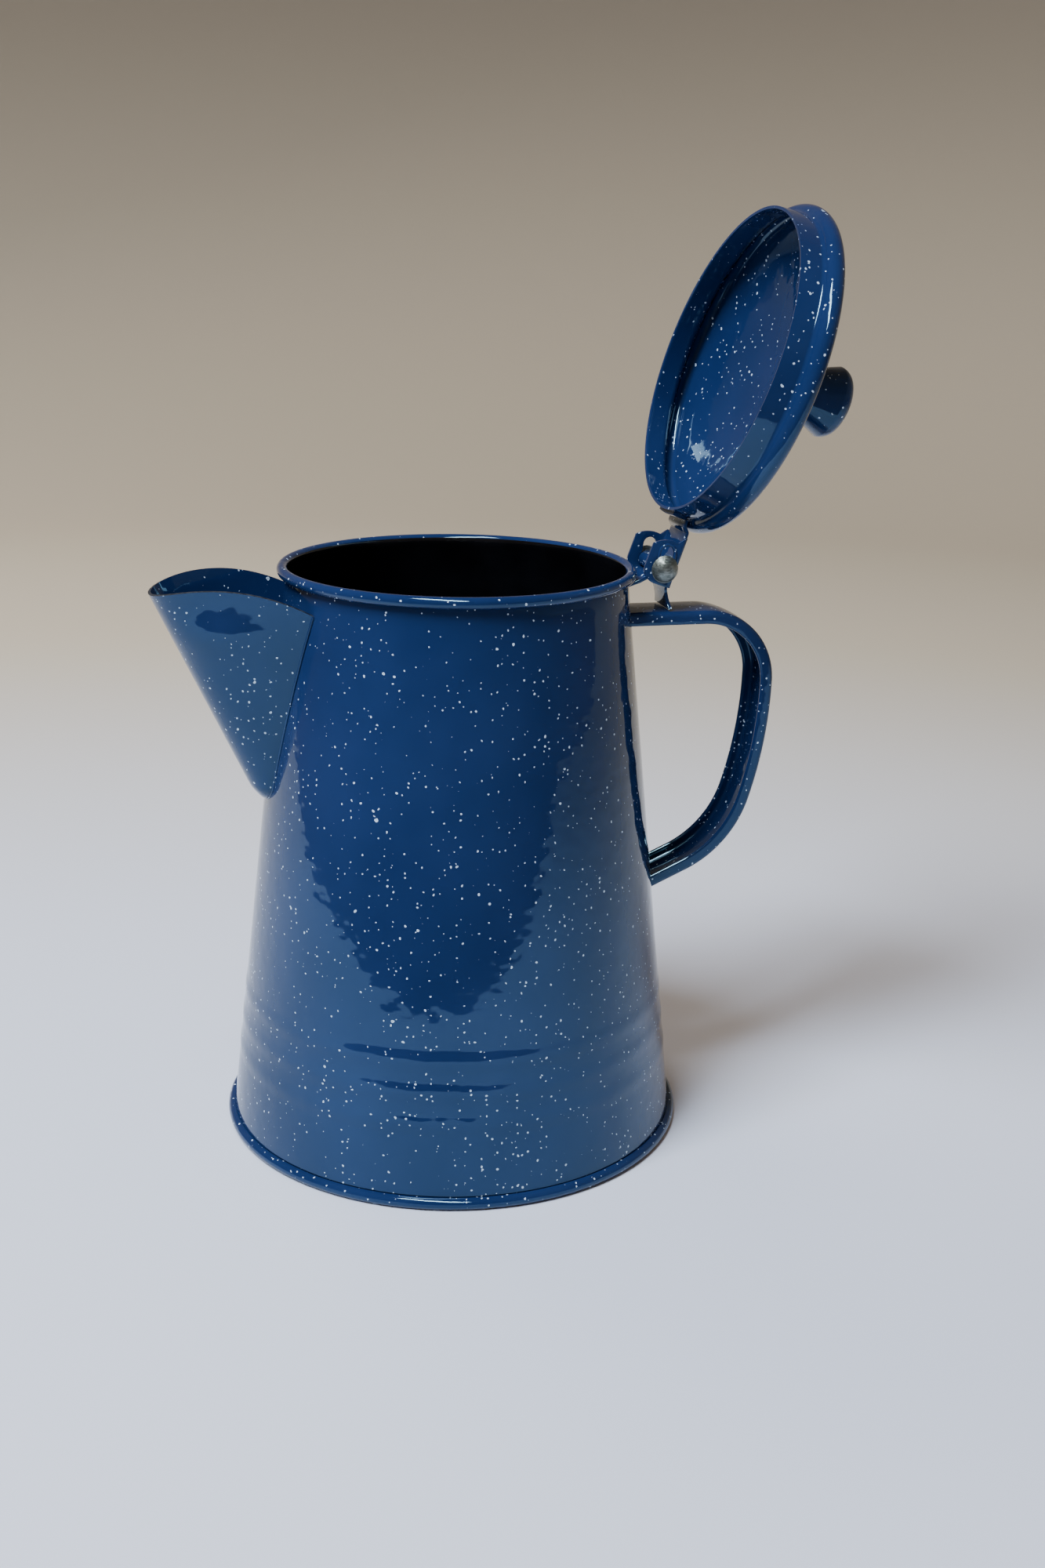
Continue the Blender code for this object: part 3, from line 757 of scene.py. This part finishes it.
def make_foot():
    """The curved plate that is welded to the lid's collar."""
    reach = math.degrees(FOOT_HALF_WIDTH / (COLLAR_R + 1))
    steps = 12
    vertices = []
    for low_r, high_r, height in ((0.2, 1.3, 1.6), (0.5, 1.6, 6.9)):
        for i in range(steps + 1):
            angle = math.radians(reach * (2 * i / steps - 1))
            for extra in (low_r, high_r):
                r = COLLAR_R + extra
                x = r * math.cos(angle) + LID_X - PIN_X
                vertices.append((x, r * math.sin(angle), height + COLLAR_EDGE_Z - PIN_Z))
    row = 2 * (steps + 1)
    faces = [[0, 1, row + 1, row], [row - 2, row - 1, 2 * row - 1, 2 * row - 2]]
    for i in range(steps):
        a = 2 * i
        faces += [[a, a + 2, row + a + 2, row + a], [a + 1, a + 3, row + a + 3, row + a + 1]]
        faces += [[a, a + 1, a + 3, a + 2], [row + a, row + a + 1, row + a + 3, row + a + 2]]
    return new_piece("leaf_foot", vertices, faces, (ENAMEL,), None, None, LID_PLACE)


def make_tail():
    """The tab that stops the open lid on the handle: waisted, and flared again at its end."""
    start = Vector((4.4, 3.0))
    end = Vector((12.27, 7.92))
    along = end - start
    normal = Vector((-along.y, along.x)).normalized() * SHEET / 2
    steps = 24
    vertices = []
    for i in range(steps + 1):
        t = i / steps
        root = max(0.0, 1 - t / 0.42)
        flare = max(0.0, (t - 0.55) / 0.45)
        half_width = 6.0 + 3.6 * root**2 + 2.0 * flare**2
        x, z = start + along * t
        for sign, y in ((1, half_width), (1, -half_width), (-1, -half_width), (-1, half_width)):
            vertices.append((x + sign * normal.x, y, z + sign * normal.y))
    faces = [[0, 1, 2, 3], [len(vertices) - 4 + i for i in range(4)]]
    for a in range(0, len(vertices) - 4, 4):
        faces += [[a + i, a + (i + 1) % 4, a + 4 + (i + 1) % 4, a + 4 + i] for i in range(4)]
    return new_piece("leaf_tail", vertices, faces, (ENAMEL,), None, None, LID_PLACE)


# ---------------------------------------------------------------- lid


def lid_outline():
    """The lid's outer face, from the collar's edge to the top of the dome."""
    collar = [(COLLAR_R + 0.11 * h, h) for h in (0, 1, 2, 3, 4, 5, 6, 6.8, 7.4)]
    flange = arc(FLANGE_CENTRE_R, FLANGE_CENTRE_H, FLANGE_R, -80, 84, 40)
    shoulder_h = FLANGE_CENTRE_H + FLANGE_R
    dome = []
    for i in range(1, 41):
        step = 0.985 * (1 - i / 40)
        dome.append((FLANGE_CENTRE_R * step, shoulder_h + (DOME_TOP_H - shoulder_h) * (1 - step**2)))
    return collar + flange + dome


def from_pin(solid):
    """A turned lid solid moved from the lid's axis and collar edge to the pin's frame."""
    vertices, faces = solid
    shift_x = LID_X - PIN_X
    shift_z = COLLAR_EDGE_Z - PIN_Z
    return [(x + shift_x, y, z + shift_z) for x, y, z in vertices], faces


def make_lid():
    outer = lid_outline()
    inner = offset_outline(outer, SHEET)
    edge = [(COLLAR_R - 0.92, 0.12), (COLLAR_R - 0.5, 0.0)]
    inner[0] = (COLLAR_R - SHEET, 0.4)
    solid = from_pin(revolve(outer + inner[::-1] + edge))
    new_piece("lid", *solid, (ENAMEL,), "lid", "blue_enamel", LID_PLACE, ("lid_shell",), 50)
    make_knob()


def make_knob():
    foot_h = DOME_TOP_H
    side = [(KNOB_NECK_R, foot_h), (KNOB_NECK_R + 0.3, foot_h + 3.5), (KNOB_R - 0.5, foot_h + 13.0)]
    flare = rounded(side, 9.0, 12)
    crown = arc(KNOB_R - 4.8, KNOB_TOP_H - 5.6, 4.8, 0, 82, 18)
    outer = [*flare[:-1], *crown, (3.0, KNOB_TOP_H - 0.05), (0, KNOB_TOP_H)]
    inner = offset_outline(outer, SHEET)
    inner[0] = (KNOB_NECK_R - SHEET, foot_h)
    solid = from_pin(revolve(outer + inner[::-1], 128))
    new_piece("knob", *solid, (ENAMEL,), "lid", "blue_enamel", LID_PLACE, ("lid_knob",), 50)
    weld_h = foot_h - 0.15
    weld = [(KNOB_NECK_R * math.cos(a), KNOB_NECK_R * math.sin(a), weld_h) for a in turn_angles(96)]
    solid = from_pin(tube(weld, 0.8, 12, closed=True))
    new_piece("knob_weld", *solid, (ENAMEL,), "lid", "blue_enamel", LID_PLACE)


def turn_angles(count):
    return [2 * math.pi * i / count for i in range(count)]


# ---------------------------------------------------------------- stage, lights and camera

# Places in metres, powers in watts. LOOK and STRIP_ALONG are directions, and ROLL is in degrees.
CAMERA_M = Vector((-0.1279, -0.5785, 0.3036))
LOOK = Vector((0.2424, 0.9238, -0.2967))
ROLL = 1.21
LENS = 41.4
FLOOR_M = 1.3
SWEEP_M = 0.95
WALL_TOP_M = 2.6
# Centre of the pool of light painted on the paper.
LIGHT_POOL_CENTRE_M = (-0.08, -0.30, 0.0)
ROOM_GLOW = (0.13, 0.10, 0.09)
ROOM_HEIGHT_M = 0.45
# The dark room's corners, right of the pot and ahead of it: back left, front left, front right, back right.
ROOM_CORNERS_M = ((-1.6, 1.2), (-0.4, -0.3), (1.2, -0.6), (1.6, 0.6))
AMBIENT = 0.42
KEY_M = Vector((-0.70, -0.47, 1.5))
KEY_SIZE_M = (0.6, 0.85)
KEY_POWER = 61
FILL_M = Vector((-0.5, 1.1, 1.1))
FILL_SIZE_M = (0.8, 0.8)
FILL_POWER = 8
STRIP_M = Vector((-0.27, -0.70, 1.5))
STRIP_SIZE_M = (0.22, 1.1)
STRIP_POWER = 48
STRIP_ALONG = Vector((-0.248, 0.969, 0.0))


def make_camera():
    data = bpy.data.cameras.new("camera")
    data.lens = LENS
    data.sensor_width = 36.0
    data.clip_start = 0.01
    data.clip_end = 20.0
    camera = bpy.data.objects.new("camera", data)
    bpy.context.collection.objects.link(camera)
    forward = LOOK.normalized()
    level = forward.cross(Vector((0, 0, 1))).normalized()
    upright = level.cross(forward)
    roll = math.radians(ROLL)
    right = level * math.cos(roll) + upright * math.sin(roll)
    up = right.cross(forward)
    turn = Matrix((right, up, -forward)).transposed().to_4x4()
    camera.matrix_world = Matrix.Translation(CAMERA_M) @ turn
    bpy.context.scene.camera = camera


def paper_material():
    """Paper with painted light: pale in a painted pool of light round the pot, turning to a painted warm
    grey shade further off and up the sweep.
    """
    n = Nodes("paper")
    where = n.add("ShaderNodeNewGeometry").outputs["Position"]
    split = n.add("ShaderNodeSeparateXYZ", {"Vector": where}).outputs
    apart = n.add("ShaderNodeVectorMath", {0: where, 1: LIGHT_POOL_CENTRE_M}, operation="SUBTRACT")
    centred = apart.outputs[0]
    distance = n.add("ShaderNodeVectorMath", {0: centred}, operation="LENGTH").outputs["Value"]
    # Painted light on the paper: a pale painted pool round the pot fades to painted warm shade further off,
    # and to darker painted shade up the sweep.
    near = n.ramp(distance, 0.35, 1.15)
    high = n.ramp(split[2], 0.05, 0.75)
    painted_light_falloff = n.mix(near, (0.68, 0.69, 0.77, 1.0), (0.58, 0.50, 0.385, 1.0))
    colour = n.mix(high, painted_light_falloff, (0.29, 0.25, 0.20, 1.0))
    n.set_shader(base_color=colour, roughness=0.9)
    n.shader.inputs["Specular IOR Level"].default_value = 0.1
    return n.material


def make_stage():
    profile = [(0.001, 0), (FLOOR_M / 2, 0)]
    profile += arc(FLOOR_M, SWEEP_M, SWEEP_M, -90, 0, 24)
    profile.append((FLOOR_M + SWEEP_M, WALL_TOP_M))
    vertices = []
    segments = 96
    for radius, height in profile:
        vertices += [(radius * math.cos(a), radius * math.sin(a), height) for a in turn_angles(segments)]
    faces = [list(range(segments))]
    for ring in range(len(profile) - 1):
        for i in range(segments):
            a = ring * segments + i
            b = ring * segments + (i + 1) % segments
            faces.append([a, b, b + segments, a + segments])
    mesh = bpy.data.meshes.new("paper_sweep")
    mesh.from_pydata(vertices, [], faces)
    mesh.materials.append(paper_material())
    mesh.shade_smooth()
    sweep = bpy.data.objects.new("paper_sweep", mesh)
    bpy.context.collection.objects.link(sweep)


def make_dark_room():
    """A dark wall that only reflections see: the unlit room beyond the paper's edge."""
    ahead = Vector((LOOK.x, LOOK.y)).normalized()
    side = Vector((ahead.y, -ahead.x))
    n = Nodes("dark_room")
    n.set_shader(base_color=(0.012, 0.011, 0.010, 1.0), roughness=1.0)
    n.shader.inputs["Specular IOR Level"].default_value = 0.0
    n.shader.inputs["Emission Color"].default_value = (*ROOM_GLOW, 1.0)
    n.shader.inputs["Emission Strength"].default_value = 1.0
    vertices = []
    for height in (0.0005, ROOM_HEIGHT_M):
        for right_by, ahead_by in ROOM_CORNERS_M:
            spot = (side * right_by + ahead * ahead_by) * (1 + height)
            vertices.append((spot.x, spot.y, height))
    count = len(ROOM_CORNERS_M)
    faces = [[i, i + 1, count + i + 1, count + i] for i in range(count - 1)]
    mesh = bpy.data.meshes.new("dark_room")
    mesh.from_pydata(vertices, [], faces)
    mesh.materials.append(n.material)
    room = bpy.data.objects.new("dark_room", mesh)
    bpy.context.collection.objects.link(room)
    room.visible_camera = False
    room.visible_diffuse = False
    room.visible_shadow = False
    room.visible_transmission = False


def area_light(name, place, turn, size, power, colour, glossy):
    data = bpy.data.lights.new(name, "AREA")
    data.shape = "RECTANGLE"
    data.size, data.size_y = size
    data.energy = power
    data.color = colour
    light = bpy.data.objects.new(name, data)
    bpy.context.collection.objects.link(light)
    light.matrix_world = Matrix.Translation(place) @ turn.to_4x4()
    light.visible_glossy = glossy
    light.visible_diffuse = not glossy
    light.visible_camera = False


def make_lights():
    """A soft light from the left, a weak one from behind, a warm room, and a strip for the highlights."""
    world = bpy.data.worlds.new("room")
    bpy.context.scene.world = world
    world.use_nodes = True
    tree = world.node_tree
    backdrop = tree.nodes["Background"]
    backdrop.inputs[0].default_value = (1.0, 0.75, 0.48, 1.0)
    path = tree.nodes.new("ShaderNodeLightPath")
    strength = tree.nodes.new("ShaderNodeMath")
    strength.operation = "MULTIPLY_ADD"
    tree.links.new(path.outputs["Is Glossy Ray"], strength.inputs[0])
    strength.inputs[1].default_value = ROOM_GLOW[0] - AMBIENT
    strength.inputs[2].default_value = AMBIENT
    tree.links.new(strength.outputs[0], backdrop.inputs[1])
    aim = (Vector((0, 0, 0.05)) - KEY_M).to_track_quat("-Z", "Y").to_matrix()
    area_light("key", KEY_M, aim, KEY_SIZE_M, KEY_POWER, (0.73, 0.85, 1.0), glossy=False)
    aim = (Vector((0, 0, 0.1)) - FILL_M).to_track_quat("-Z", "Y").to_matrix()
    area_light("fill", FILL_M, aim, FILL_SIZE_M, FILL_POWER, (1.0, 0.93, 0.84), glossy=False)
    along = STRIP_ALONG.normalized()
    up = Vector((0, 0, 1))
    level = Matrix((along.cross(up), along, up)).transposed()
    area_light("strip", STRIP_M, level, STRIP_SIZE_M, STRIP_POWER, (0.95, 0.98, 1.0), glossy=True)


make_wall()
make_base()
make_spout()
make_handle()
make_bracket()
make_rivet()
make_lid()
make_leaf()
make_stage()
make_dark_room()
make_lights()
make_camera()
